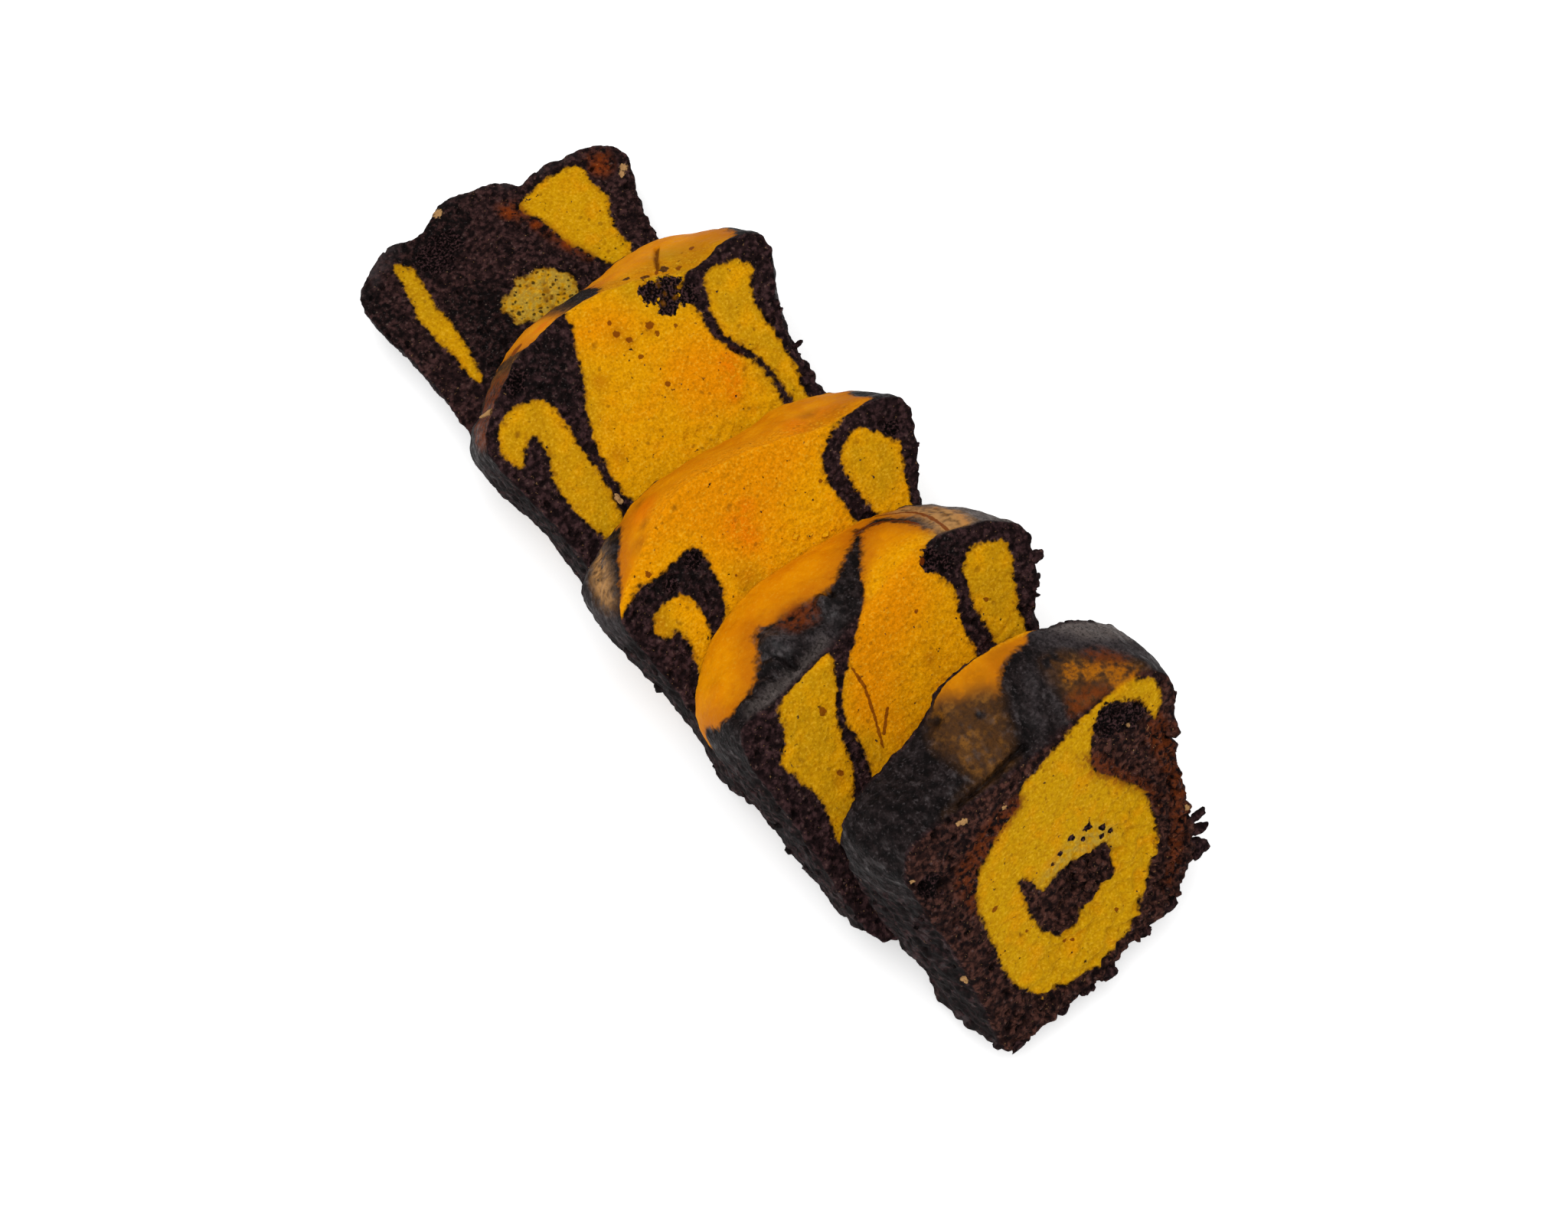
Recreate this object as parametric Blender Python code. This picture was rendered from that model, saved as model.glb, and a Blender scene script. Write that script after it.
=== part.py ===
"""Marble loaf cake, cut in five slices that lie in a row, each leaning on the one behind it.

Every slice is a closed loft between its two cut faces. Its section stands in its own plane:
across to the right, up from the base edge, and back from the front cut. The rear slice lies
flat on the table. Each other slice stands on its rear base edge and leans back on the front
base edge of the slice behind it.
"""
import math

import bmesh
import bpy
import numpy as np
from mathutils import Matrix, Vector, noise

MM = 0.001

# Driving dimensions, in millimetres and degrees
CONTACT_GAP = 0.55
PRESSED_FLAT = 0.8
ARRIS_ROUND = 0.8
CRUST_BULGE = 0.9
CRAG_DEPTH = 0.55
CRAG_SIZE = 7.0
CRUMB_DEPTH = 0.3
CRUMB_SIZE = 9.0
HALF_BASE = 38.0
ROW_CENTRE = (2.36, -65.15)

# Mesh density
OUTLINE_STEPS = 72
CURVE_STEPS = 12
SIDE_RINGS = (0.2, 0.4, 0.6, 0.8)
FACE_RINGS = (0.86, 0.62, 0.36)

# The slices from front to rear. thickness is measured from cut to cut, pitch is the distance on the
# table to the base edge of the slice behind, across is a shift to the right, turn is about the vertical.
# An outline runs from the lower left corner along the base, up the right side, over the crown and down.
SLICES = [
    dict(
        name="slice_1_front", thickness=24.5, pitch=32.0, across=6.0, turn=1.0, seed=11,
        front=[(-33.5, -2), (-20, -1.5), (-6, -1.5), (6, 0.5), (17, 3), (27, 7.5), (33.5, 14), (36.5, 23), (37, 32),
               (38.5, 43), (39, 52), (41.5, 60), (43.5, 68), (40.5, 74.5), (30, 77), (16, 76.5), (2, 75), (-12, 74.5),
               (-28, 76), (-38, 74.5), (-41, 66), (-39, 52), (-36, 36), (-35, 18)],
        back=[(-36, 1.5), (-16, 0), (14, 0), (32, 4), (38, 16), (42, 34), (46.5, 52), (49, 66), (41, 79), (27, 87.5),
              (10, 93), (-6, 91.5), (-14, 85), (-25, 82), (-37, 79), (-44, 71), (-45, 55), (-41.5, 32), (-37.5, 14)],
    ),
    dict(
        name="slice_2", thickness=27.0, pitch=46.5, across=0.0, turn=0.0, seed=22,
        front=[(-38, 2), (-20, 0), (20, 0), (35, 3), (38, 16), (39, 34), (39.5, 49), (45, 59), (49.5, 67.5),
               (47, 74.5), (37, 80), (22, 82.5), (5, 78), (-12, 73.5), (-30, 70.5), (-42, 70), (-45, 62), (-43, 45),
               (-42, 25)],
        back=[(-36, 2), (-18, 0), (20, 0), (36, 3), (40, 18), (43, 36), (47, 52), (50, 64), (46, 76), (36, 85),
              (22, 90), (4, 91.5), (-14, 92), (-28, 88), (-38, 81), (-45, 71), (-45, 56), (-42, 36), (-39, 15)],
    ),
    dict(
        name="slice_3", thickness=25.0, pitch=50.5, across=-3.0, turn=-1.0, seed=33,
        front=[(-39, 2), (-20, 0), (20, 0), (35, 3), (38, 16), (39, 32), (40, 46), (45, 58), (49.5, 67), (48, 73.5),
               (40, 77), (28, 77), (15, 81), (0, 84), (-16, 84), (-28, 78), (-39, 70.5), (-46, 63), (-44, 48),
               (-41, 30)],
        back=[(-37, 2), (-20, 0), (20, 0), (36, 3), (40, 18), (43, 36), (47, 52), (51, 63), (49, 73.5), (39, 79.5),
              (24, 83.5), (8, 83), (-6, 84), (-18, 83), (-28, 80), (-39, 75), (-47, 68), (-45, 53), (-41, 37),
              (-38, 18)],
    ),
    dict(
        name="slice_4", thickness=28.0, pitch=58.0, across=0.0, turn=0.0, seed=44,
        front=[(-40, 2), (-20, 0), (20, 0), (36, 3), (39, 16), (40, 32), (40, 46), (43.5, 58), (50, 70), (48.5, 76),
               (40, 78), (28, 76), (14, 81.5), (-2, 84.5), (-16, 83.5), (-28, 80), (-38, 74), (-47, 65),
               (-45, 50), (-42, 30)],
        back=[(-38, 2), (-20, 0), (20, 0), (36, 3), (40, 18), (44, 38), (49, 56), (54, 70), (52, 81), (41, 88),
              (28, 92.5), (14, 91), (0, 89.5), (-14, 88.5), (-26, 84), (-37, 76), (-45.5, 68.5), (-45, 56), (-41, 42),
              (-39, 20)],
    ),
    dict(
        name="slice_5_rear", thickness=20.0, pitch=0.0, across=0.0, turn=-2.0, seed=55,
        front=[(-40, 2), (-20, 0), (18, 0), (32, 3), (34, 18), (36.5, 36), (39.5, 50), (43.5, 60), (42.5, 67.5),
               (36, 71.5), (26, 72.5), (17, 72.5), (12, 70.5), (8, 75.5), (-1, 77.5), (-9, 78.5), (-16, 75),
               (-22, 72.5), (-29, 74.5), (-39, 70), (-46, 62), (-45, 48), (-42.5, 34), (-42, 16)],
        back=[(-36, 2), (-20, 0), (18, 0), (31, 3), (33, 18), (35, 36), (38, 50), (42, 60), (40.5, 67), (34, 71),
              (25, 71.5), (17, 71.5), (11, 70), (7, 74), (-2, 75.5), (-10, 76), (-16, 73.5), (-22, 71.5),
              (-28, 72.5), (-36, 67.5), (-41, 60), (-38.5, 48), (-37, 34), (-36.5, 16)],
    ),
]

CRUMB_COLOUR = (0.30, 0.17, 0.04, 1.0)
CRUMB_ROUGHNESS = 0.75


def clear_scene():
    """Removes every object that the file holds."""
    for item in list(bpy.data.objects):
        bpy.data.objects.remove(item, do_unlink=True)


def smooth_outline(points):
    """Closed Catmull-Rom curve through the points, sampled at equal steps of length."""
    corners = np.array(points, dtype=float)
    before = np.roll(corners, 1, axis=0)
    after = np.roll(corners, -1, axis=0)
    beyond = np.roll(corners, -2, axis=0)
    fine = []
    for step in range(CURVE_STEPS):
        k = step / CURVE_STEPS
        fine.append(0.5 * (2 * corners + (after - before) * k
                           + (2 * before - 5 * corners + 4 * after - beyond) * k ** 2
                           + (3 * corners - before - 3 * after + beyond) * k ** 3))
    dense = np.stack(fine, axis=1).reshape(-1, 2)
    closed = np.vstack([dense, dense[:1]])
    length = np.concatenate([[0.0], np.cumsum(np.linalg.norm(np.diff(closed, axis=0), axis=1))])
    wanted = np.linspace(0.0, length[-1], OUTLINE_STEPS, endpoint=False)
    return np.stack([np.interp(wanted, length, closed[:, axis]) for axis in (0, 1)], axis=1)


def outward(ring):
    """Unit normals that point out of a closed ring, which runs counterclockwise."""
    along = np.roll(ring, -1, axis=0) - np.roll(ring, 1, axis=0)
    normal = np.stack([along[:, 1], -along[:, 0]], axis=1)
    return normal / np.linalg.norm(normal, axis=1, keepdims=True)


def relief(across, up, depth, size, seed):
    """Smooth seeded unevenness between -1 and 1 at a place in a slice."""
    return noise.noise(Vector((across / size, up / size, depth / size + 13.7 * seed)))


def side_rings(slab):
    """Rings round the slice from the front arris to the rear one, each with its depth."""
    front = smooth_outline(slab["front"])
    back = smooth_outline(slab["back"])
    thickness = slab["thickness"]
    depths = [0.0, ARRIS_ROUND]
    depths += [part * thickness for part in SIDE_RINGS]
    depths += [thickness - ARRIS_ROUND, thickness]
    rings = []
    for depth in depths:
        part = depth / thickness
        blend = 0.5 * part + 0.5 * math.sin(0.5 * math.pi * part)
        ring = front + (back - front) * blend
        normal = outward(ring)
        swell = CRUST_BULGE * math.sin(math.pi * part)
        if depth in (0.0, thickness):
            swell -= ARRIS_ROUND
        crag = np.array([relief(u, v, depth, CRAG_SIZE, slab["seed"]) for u, v in ring])
        rings.append((depth, ring + normal * (swell + CRAG_DEPTH * crag)[:, None]))
    return rings


def face_rings(ring, depth, slab, uneven):
    """Rings that close a cut face, shrinking to its middle, with the unevenness of torn crumb."""
    middle = ring.mean(axis=0)
    rings = []
    for scale in FACE_RINGS:
        inner = middle + (ring - middle) * scale
        lift = [uneven * relief(u, v, 0.0, CRUMB_SIZE, slab["seed"] + 3) for u, v in inner]
        rings.append((depth + np.array(lift), inner))
    return rings, middle


def slice_mesh(slab):
    """Closed mesh of one slice in its own plane: X across, Y back from the front cut, Z up."""
    sides = side_rings(slab)
    thickness = slab["thickness"]
    front, front_middle = face_rings(sides[0][1], 0.0, slab, CRUMB_DEPTH)
    back, back_middle = face_rings(sides[-1][1], thickness, slab, 0.0)
    rows = front[::-1] + sides + back
    form = bmesh.new()
    made = []
    for depth, ring in rows:
        depths = np.broadcast_to(depth, len(ring))
        made.append([form.verts.new((u * MM, w * MM, v * MM)) for (u, v), w in zip(ring, depths)])
    for near, far in zip(made, made[1:]):
        for i in range(OUTLINE_STEPS):
            j = (i + 1) % OUTLINE_STEPS
            form.faces.new((near[i], near[j], far[j], far[i]))
    front_tip = form.verts.new((front_middle[0] * MM, 0.0, front_middle[1] * MM))
    back_tip = form.verts.new((back_middle[0] * MM, thickness * MM, back_middle[1] * MM))
    for i in range(OUTLINE_STEPS):
        j = (i + 1) % OUTLINE_STEPS
        form.faces.new((front_tip, made[0][j], made[0][i]))
        form.faces.new((back_tip, made[-1][i], made[-1][j]))
    bmesh.ops.recalc_face_normals(form, faces=form.faces)
    mesh = bpy.data.meshes.new(slab["name"])
    form.to_mesh(mesh)
    form.free()
    mesh.shade_smooth()
    mesh.set_sharp_from_angle(angle=math.radians(50.0))
    return mesh


def leans():
    """Lean of each slice from the vertical and the place of its rear base edge, from front to rear."""
    placed = []
    behind = None
    for slab in reversed(SLICES):
        if behind is None:
            edge, lean = 0.0, math.radians(90.0)
        else:
            edge = behind["edge"] - slab["pitch"]
            reach = behind["slab"]["thickness"]
            run = behind["edge"] - reach * math.cos(behind["lean"]) - edge
            rise = reach * math.sin(behind["lean"])
            turn = math.radians(abs(slab["turn"] - behind["slab"]["turn"]))
            gap = CONTACT_GAP + HALF_BASE * math.sin(turn) * math.cos(behind["lean"])
            slope = math.atan2(rise, run) + math.asin(gap / math.hypot(run, rise))
            lean = math.radians(90.0) - slope
        behind = dict(slab=slab, edge=edge, lean=lean)
        placed.append(behind)
    return placed[::-1]


def crumb_material():
    """Matt cake crumb."""
    crumb = bpy.data.materials.new("cake_crumb")
    crumb.use_nodes = True
    shader = crumb.node_tree.nodes["Principled BSDF"]
    shader.inputs["Base Color"].default_value = CRUMB_COLOUR
    shader.inputs["Roughness"].default_value = CRUMB_ROUGHNESS
    shader.inputs["Metallic"].default_value = 0.0
    return crumb


def place_slice(item, spot):
    """Leans a slice back about its rear base edge, turns it and flattens what would dip into the table."""
    slab = spot["slab"]
    to_edge = Matrix.Translation((0.0, -slab["thickness"] * MM, 0.0))
    lean = Matrix.Rotation(-spot["lean"], 4, "X")
    turn = Matrix.Rotation(math.radians(slab["turn"]), 4, "Z")
    across = slab["across"] - ROW_CENTRE[0]
    along = spot["edge"] - ROW_CENTRE[1]
    sink = PRESSED_FLAT * math.cos(spot["lean"])
    where = Matrix.Translation((across * MM, along * MM, -sink * MM))
    item.matrix_world = where @ turn @ lean @ to_edge
    back_again = item.matrix_world.inverted()
    for corner in item.data.vertices:
        spot_on_table = item.matrix_world @ corner.co
        if spot_on_table.z < 0.0:
            spot_on_table.z = 0.0
            corner.co = back_again @ spot_on_table


def build():
    clear_scene()
    row = bpy.data.collections.new("marble_loaf_cake_slices")
    bpy.context.scene.collection.children.link(row)
    crumb = crumb_material()
    for spot in leans():
        item = bpy.data.objects.new(spot["slab"]["name"], slice_mesh(spot["slab"]))
        item.data.materials.append(crumb)
        row.objects.link(item)
        place_slice(item, spot)


build()
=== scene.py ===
"""Marble loaf cake in five leaning slices: golden and chocolate crumb, baked crust and loose crumbs.

Lengths are in millimetres unless a line says otherwise. A place on a cut face is given as
(across, up) from the middle of the slice's front base edge. A place on the crust is given as
(around, depth): millimetres round the loaf from the middle of the crown, positive to the right,
and millimetres back from the front cut.
"""
import math

import bmesh
import bpy
import numpy as np
from mathutils import Matrix, Vector, noise


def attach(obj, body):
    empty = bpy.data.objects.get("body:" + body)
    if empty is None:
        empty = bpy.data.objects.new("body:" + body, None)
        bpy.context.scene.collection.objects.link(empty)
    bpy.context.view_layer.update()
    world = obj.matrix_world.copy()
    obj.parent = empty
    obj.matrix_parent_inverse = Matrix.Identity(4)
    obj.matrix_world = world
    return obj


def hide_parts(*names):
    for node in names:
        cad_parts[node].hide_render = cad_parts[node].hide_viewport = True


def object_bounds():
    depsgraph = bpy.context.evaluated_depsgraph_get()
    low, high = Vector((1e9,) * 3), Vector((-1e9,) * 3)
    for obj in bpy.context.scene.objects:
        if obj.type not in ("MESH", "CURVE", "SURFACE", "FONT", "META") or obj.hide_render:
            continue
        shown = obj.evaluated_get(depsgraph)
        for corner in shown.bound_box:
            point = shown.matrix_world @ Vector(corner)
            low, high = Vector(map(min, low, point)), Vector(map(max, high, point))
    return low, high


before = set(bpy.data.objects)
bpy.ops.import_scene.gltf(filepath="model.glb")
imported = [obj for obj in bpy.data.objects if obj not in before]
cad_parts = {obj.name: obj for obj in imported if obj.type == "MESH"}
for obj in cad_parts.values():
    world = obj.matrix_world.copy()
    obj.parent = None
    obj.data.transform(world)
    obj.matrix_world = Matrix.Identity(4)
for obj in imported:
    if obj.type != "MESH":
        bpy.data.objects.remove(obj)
cad_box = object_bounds()

MM = 0.001

# Cells of the dressed mesh, and how far it stays inside the model's box, in metres
MESH_CELL = 0.575
BOX_MARGIN = 1e-5

# The crust is measured round a point this far above the base edge, at this radius
CROWN_HEIGHT = 40.0
CROWN_RADIUS = 45.0

# Distances to the edge of a loop count up to this far
FAR = 8.0

# Where the right-hand side, the left-hand side and the underside begin, round the crust
RIGHT_EDGE = 50.0
LEFT_EDGE = -47.0
UNDERSIDE = -112.0

# How deep a cut face reaches into the slice, and how wide its crumbling arris is
CUT_REACH = 1.4
ARRIS_REACH = 4.5

# Relief: the size of its lumps, the spacing of pores and knobs, and how wide a pore is in its cell
GRAIN_SIZE = 1.3
LUMP_SIZE = 2.6
SWELL_SIZE = 7.0
FOLD_SIZE = 4.0
PORE_SPACING = 2.6
KNOB_SPACING = 4.2
PORE_WIDTH = 0.44

# Where one slice rests on the next: how far crumb may stand out there, and how far that reaches
PRESSED_LIFT = 0.05
PRESSED_HEIGHT = 7.0
PRESSED_WIDTH = 36.0

# Drawn lines and grooves: about half their width
LINE_WIDTH = 0.6
GROOVE_WIDTH = 0.7

# Tints that fill loops, with how softly each fades at its edge, and the masks of round marks
TINTS = {
    "tan": 3.0, "grey": 3.0, "pale": 2.5, "olive": 4.0, "charred": 3.0, "torn": 3.0, "warm": 7.0,
    "porous": 2.0, "rust": 2.0,
}
MARKS = {"ragged": "ragged", "blushes": "blush", "stains": "stain", "specks": "speck", "bumps": "bump"}

# Camera: the photograph's viewing angle, with its place in metres and its lens in millimetres
CAMERA_PLACE = (-0.1986, -0.2201, 0.6776)
CAMERA_RIGHT = (0.7994, -0.5989, 0.0478)
CAMERA_FORWARD = (0.2698, 0.2868, -0.9192)
CAMERA_LENS = 61.35

# Studio: a soft sky, one square panel over the cake and a wide table top, in metres and watts
SKY_STRENGTH = 0.55
PANEL_PLACE = (-0.3, -0.05, 1.4)
PANEL_SIZE = 1.1
PANEL_POWER = 11.8
CAKE_MIDDLE = (0.0, 0.0, 0.03)
TABLE_REACH = 3.0
TABLE_GLOW = 0.4

# How each slice stands: the same thickness, lean, turn and corner as its solid. rests_at is how far up
# its rear cut it rests on the next slice's front base arris, and crumbly is how far its right and
# bottom arrises have crumbled.
STANDS = {
    "slice_1_front": dict(
        thickness=24.5, lean=35.221, turn=1.0, corner=(3.99, -141.86, 13.48), rests_at=28.1, crumbly=1.0,
    ),
    "slice_2": dict(
        thickness=27.0, lean=56.128, turn=0.0, corner=(-2.36, -104.90, 21.97), rests_at=38.7, crumbly=0.7,
    ),
    "slice_3": dict(
        thickness=25.0, lean=56.416, turn=-1.0, corner=(-5.60, -57.18, 20.38), rests_at=48.9, crumbly=0.25,
    ),
    "slice_4": dict(
        thickness=28.0, lean=70.461, turn=0.0, corner=(-2.36, -2.21, 26.12), rests_at=61.4, crumbly=0.45,
    ),
    "slice_5_rear": dict(
        thickness=20.0, lean=90.0, turn=-2.0, corner=(-2.36, 65.15, 20.00), rests_at=-99.0, crumbly=0.2,
    ),
}

# Marbling on the front cut of each slice: loops of (across, up), and marks as (across, up, radius).
# Golden crumb fills the golden loops apart from the cocoa ones. The other loops tint what they cover,
# or open it. rich is how orange the golden crumb of that slice is.
MARBLING = {
    "slice_1_front": dict(
        rich=0.0,
        golden=[
            [(-27, 36), (-27, 48), (-24, 55), (-18, 61), (-12, 64.5), (-7, 66), (-5, 71), (2, 73), (12, 76),
             (23, 78), (33, 77), (39, 73), (38.5, 66), (35.5, 62), (34, 67), (31, 72), (24, 75.5),
             (19, 72.5), (15.5, 66), (15.5, 60), (21, 53), (26, 45), (27, 37), (25.5, 29), (21, 20),
             (14, 12), (8, 6.5), (0, 4.5), (-10, 5.5), (-17, 7), (-23, 13), (-26.5, 22)],
        ],
        cocoa=[
            [(-14, 45.5), (-11.5, 44), (-9.5, 38.5), (-5, 39.5), (1, 39.5), (7, 39), (11.5, 38.5), (12, 34),
             (10.5, 28.5), (6, 26.5), (1, 24.5), (-4, 22), (-9, 22), (-12.5, 26), (-14.5, 34), (-14.5, 41)],
        ],
        olive=[[(24, 77), (36, 75), (38, 66), (33, 70)]],
        rust=[
            [(12, 68), (14, 59), (20, 51), (27, 42), (29, 36), (29, 44), (22, 56), (18, 64)],
            [(-29, 60), (-17, 68), (-6, 69), (-6, 65), (-18, 60), (-25, 54), (-27, 46), (-29, 48)],
            # This loop is partly reddish-brown crumb and partly painted light where the crumbs of the right
            # rim catch the light.
            [(32, 60), (38, 62), (38, 44), (36, 28), (28, 14), (24, 13), (30, 26), (33, 42)],
        ],
        pale=[[(-9, 41), (-4, 44), (2, 46), (9, 46), (14, 42), (14, 37), (11, 39), (2, 40), (-6, 40)]],
        porous=[[(18, 72), (30, 74), (35, 68), (34, 54), (26, 54), (18, 62)]],
        ragged=[(24, 71, 5.0), (30, 68, 4.0), (-36, 62, 4.0), (-1, 44.5, 1.0), (3, 46.5, 1.1), (6, 44, 0.9),
                (8.5, 46, 1.3), (12, 43.5, 1.2), (11, 41, 0.9), (14, 40, 0.9), (-4, 43, 0.8)],
        specks=[(-22, 73, 1.2), (-23.5, 73.5, 0.8), (-11, 69, 0.9), (-40, 67, 0.8), (-45, 29, 0.9),
                (36, 31, 0.8), (38, 26, 0.7), (28, 66, 0.7), (33, 61, 0.6)],
        dots=[(-23, 43, 1.1), (-8, 18, 0.9), (-6, 17, 0.6), (8, 17, 0.7), (-17, 30, 0.7)],
        holes=[(-38, 63.5, 1.6), (-33, 60, 2.2)],
    ),
    "slice_2": dict(
        rich=0.8,
        golden=[
            [(-13, 76), (-15, 67), (-19, 60), (-21, 53), (-23, 44), (-27, 37), (-30, 28), (-33, 25),
             (-35, 32), (-34, 42), (-36, 50), (-38, 57), (-35, 61), (-33, 65), (-32, 69), (-27, 72),
             (-20, 74)],
            [(2, 88), (-2, 77), (-9, 70), (-15, 64), (-18, 57), (-18, 46), (-20, 36), (-16, 24), (-4, 16),
             (10, 16), (20, 26), (22, 40), (21, 54), (22, 63), (24, 69), (22, 74), (20.5, 79), (23, 84),
             (22, 92)],
            [(29, 73), (34, 75.5), (42, 72), (41, 66), (38, 58), (36, 50), (34, 38), (30, 30), (29, 40),
             (27, 52), (26.5, 62)],
        ],
        warm=[[(-10, 76), (0, 90), (20, 88), (18, 74), (10, 66), (0, 60), (-8, 48), (-15, 54), (-14, 66)]],
        olive=[
            [(-20, 72), (-12, 76), (-12, 66), (-18, 62)],
            [(-20, 50), (-14, 50), (-14, 42), (-20, 42)],
            [(-38, 60), (-30, 74), (-18, 76), (-20, 56), (-30, 24), (-38, 32)],
            [(27, 76), (43, 74), (41, 56), (34, 30), (28, 34), (25, 60)],
        ],
        ragged=[(22, 79, 3.4), (25, 76, 2.5)],
        charred=[[(18, 86), (24, 90), (32, 82), (28, 75), (23, 76), (20, 80)]],
        lines=[[(-10, 67), (-9.5, 61), (-11, 53), (-13, 45)], [(-7, 53), (-9, 50.5), (-11, 48)]],
        dots=[(-22, 62, 1.5), (-26, 46, 1.2), (20, 80, 1.2), (12, 70, 0.6), (30, 62, 0.8)],
        stains=[(9, 58, 2.2), (-27, 45, 2.0)],
    ),
    "slice_3": dict(
        rich=1.0,
        golden=[
            [(-46, 64), (-44, 72), (-30, 88), (-18, 92), (1, 94), (18, 92), (38, 81), (30, 76.5),
             (25, 74.5), (21.5, 71), (20, 66), (20.5, 58), (21.5, 50), (20, 40), (14, 28), (0, 20),
             (-12, 24), (-20, 36), (-23, 46), (-20.5, 52), (-19, 58), (-19, 65), (-21, 69), (-30, 68),
             (-38, 67.5), (-43, 65)],
            [(-40, 56), (-37, 60), (-32, 61), (-27.5, 59), (-26.5, 54), (-27, 48), (-29, 40), (-32, 32),
             (-35, 34), (-34.5, 42), (-33.5, 49), (-35, 53), (-38.5, 53)],
            [(25, 66), (28, 71), (33, 73), (37, 70), (42, 63.5), (40, 57), (38, 49), (35, 38), (30, 32),
             (28, 42), (27, 52), (25.5, 60)],
        ],
        warm=[
            [(-48, 66), (-30, 88), (0, 94), (30, 90), (24, 76), (12, 70), (2, 62), (-8, 56), (-16, 64),
             (-24, 74)],
        ],
        olive=[
            [(26, 70), (38, 70), (40, 58), (30, 52), (26, 60)],
            [(-15, 58), (-9, 58), (-9, 52), (-14, 52)],
            [(-42, 60), (-34, 62), (-33, 50), (-39, 50)],
        ],
        blushes=[(-7, 68, 4.5), (-6, 64, 4.0), (-3, 71, 3.0)],
        stains=[(-12, 55, 3.4), (18, 84, 2.0), (-38, 57, 3.4), (-34, 46, 2.0)],
        dots=[(-34, 69.5, 1.0), (18, 66, 0.8), (-4, 85, 0.7), (-14, 57, 0.6)],
        ragged=[(-22, 66, 2.6), (-30, 64, 2.2), (42, 68, 2.5)],
        charred=[[(-38, 66), (-30, 68), (-20, 70), (-19, 60), (-22, 54), (-26, 60), (-36, 63)]],
    ),
    "slice_4": dict(
        rich=0.75,
        golden=[
            [(-5, 92), (-10, 79), (-13, 72), (-15, 66), (-19, 59), (-21, 52), (-22.5, 44), (-22, 34),
             (-18, 22), (-6, 14), (10, 14), (22, 22), (28.5, 34), (28.5, 45), (25.5, 51), (22.8, 56),
             (22.4, 62), (22.4, 68), (22.5, 73), (26, 77), (33, 79), (33, 86), (20, 94)],
            [(-44, 60), (-43, 65.5), (-38, 69.5), (-31, 70), (-26.5, 67), (-25, 60), (-25.5, 53), (-25, 46),
             (-25, 40), (-26, 33), (-29, 26), (-33, 28), (-35, 34), (-36.5, 42), (-36.5, 48), (-34.5, 54),
             (-33.5, 60), (-36, 61), (-39, 58.5), (-42, 56)],
            [(29.5, 73.5), (36, 73.5), (41, 71.5), (42, 68), (39.5, 65), (37.5, 60), (37.5, 52), (37.5, 44),
             (36, 34), (34, 24), (31, 26), (31, 36), (30.5, 43), (28.5, 50), (25, 57), (25, 62),
             (26.5, 67)],
        ],
        olive=[
            [(-16, 72), (-11, 70), (-15, 58), (-20, 52), (-20, 62)],
            [(8, 84), (30, 84), (28, 74), (24, 68), (10, 74)],
            [(-46, 66), (-36, 72), (-26, 68), (-24, 40), (-34, 26), (-38, 44)],
            [(29, 76), (42, 74), (40, 50), (35, 22), (30, 26), (25, 58)],
        ],
        warm=[
            [(10, 60), (20, 60), (24, 50), (18, 40), (8, 44), (4, 54)],
            [(-12, 78), (0, 80), (6, 74), (-4, 72)],
        ],
        ragged=[(14, 77, 3.6), (18.5, 75, 5.2), (22.5, 71.5, 3.4), (16, 71, 2.6), (-31, 76, 4.0)],
        blushes=[(22, 50, 3.8), (20.5, 45.5, 3.0), (18, 42, 2.2)],
        charred=[[(-31, 74), (-24, 80), (-14, 82), (-16, 72), (-20, 62), (-25, 66)]],
        stains=[(0, 72, 3.0), (1.5, 69, 2.6), (-18, 45, 2.6), (-11, 64, 2.6), (14, 80, 2.4), (8, 69, 2.0)],
        dots=[(0, 76, 1.0), (0, 72.5, 1.2), (2, 69.5, 1.0), (9, 70, 1.4), (9.5, 67, 1.0), (2, 64, 0.9),
              (4, 54, 1.0), (15, 66, 0.8), (26, 50, 0.6)],
    ),
    "slice_5_rear": dict(
        rich=0.2,
        golden=[
            [(-32.5, 66), (-29.5, 67), (-27.5, 63), (-27.8, 57), (-28.4, 50), (-27.4, 44), (-27.8, 37),
             (-28.6, 29), (-30, 23), (-32.3, 26), (-32.8, 33), (-33.8, 42), (-34.4, 50), (-33, 58)],
            [(-14, 39), (-12, 42), (-8, 42.5), (-5, 45.5), (-1, 44.5), (3, 45), (6, 41.5), (9, 38), (8, 33),
             (5, 28), (-1, 29.5), (-6, 28.5), (-9, 32), (-13, 33), (-12.5, 36)],
            [(8.5, 65), (16, 67.5), (24, 68.5), (30, 66.5), (30, 59), (31.5, 54), (29, 49), (27.5, 43),
             (28, 37), (25, 33), (20, 35), (16, 42), (13, 48), (12, 54), (10, 60)],
        ],
        pale=[[(-20, 42), (-4, 50), (10, 46), (14, 32), (6, 24), (-16, 28)]],
        olive=[[(-36, 68), (-28, 70), (-27, 50), (-34, 46)]],
        rust=[
            [(3, 68), (9.5, 66), (9, 61), (4, 62)],
            [(8, 60), (12, 56), (14, 48), (18, 41), (16, 39), (11, 48)],
            [(33, 68), (39, 67), (38, 61), (33, 61)],
        ],
        blushes=[(35, 63.5, 3.2), (4.5, 64.5, 2.2), (9, 57, 1.6), (13, 47, 1.6)],
        porous=[[(-18, 42), (-4, 48), (6, 46), (12, 36), (6, 26), (-14, 30)]],
        ragged=[(-20, 64, 6.0), (-15, 66, 5.0)],
        charred=[
            [(-30, 72), (-18, 78), (-6, 78), (-6, 68), (-14, 61), (-26, 59)],
            [(-50, 64), (-40, 66), (-39, 54), (-43, 44), (-50, 46)],
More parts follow.
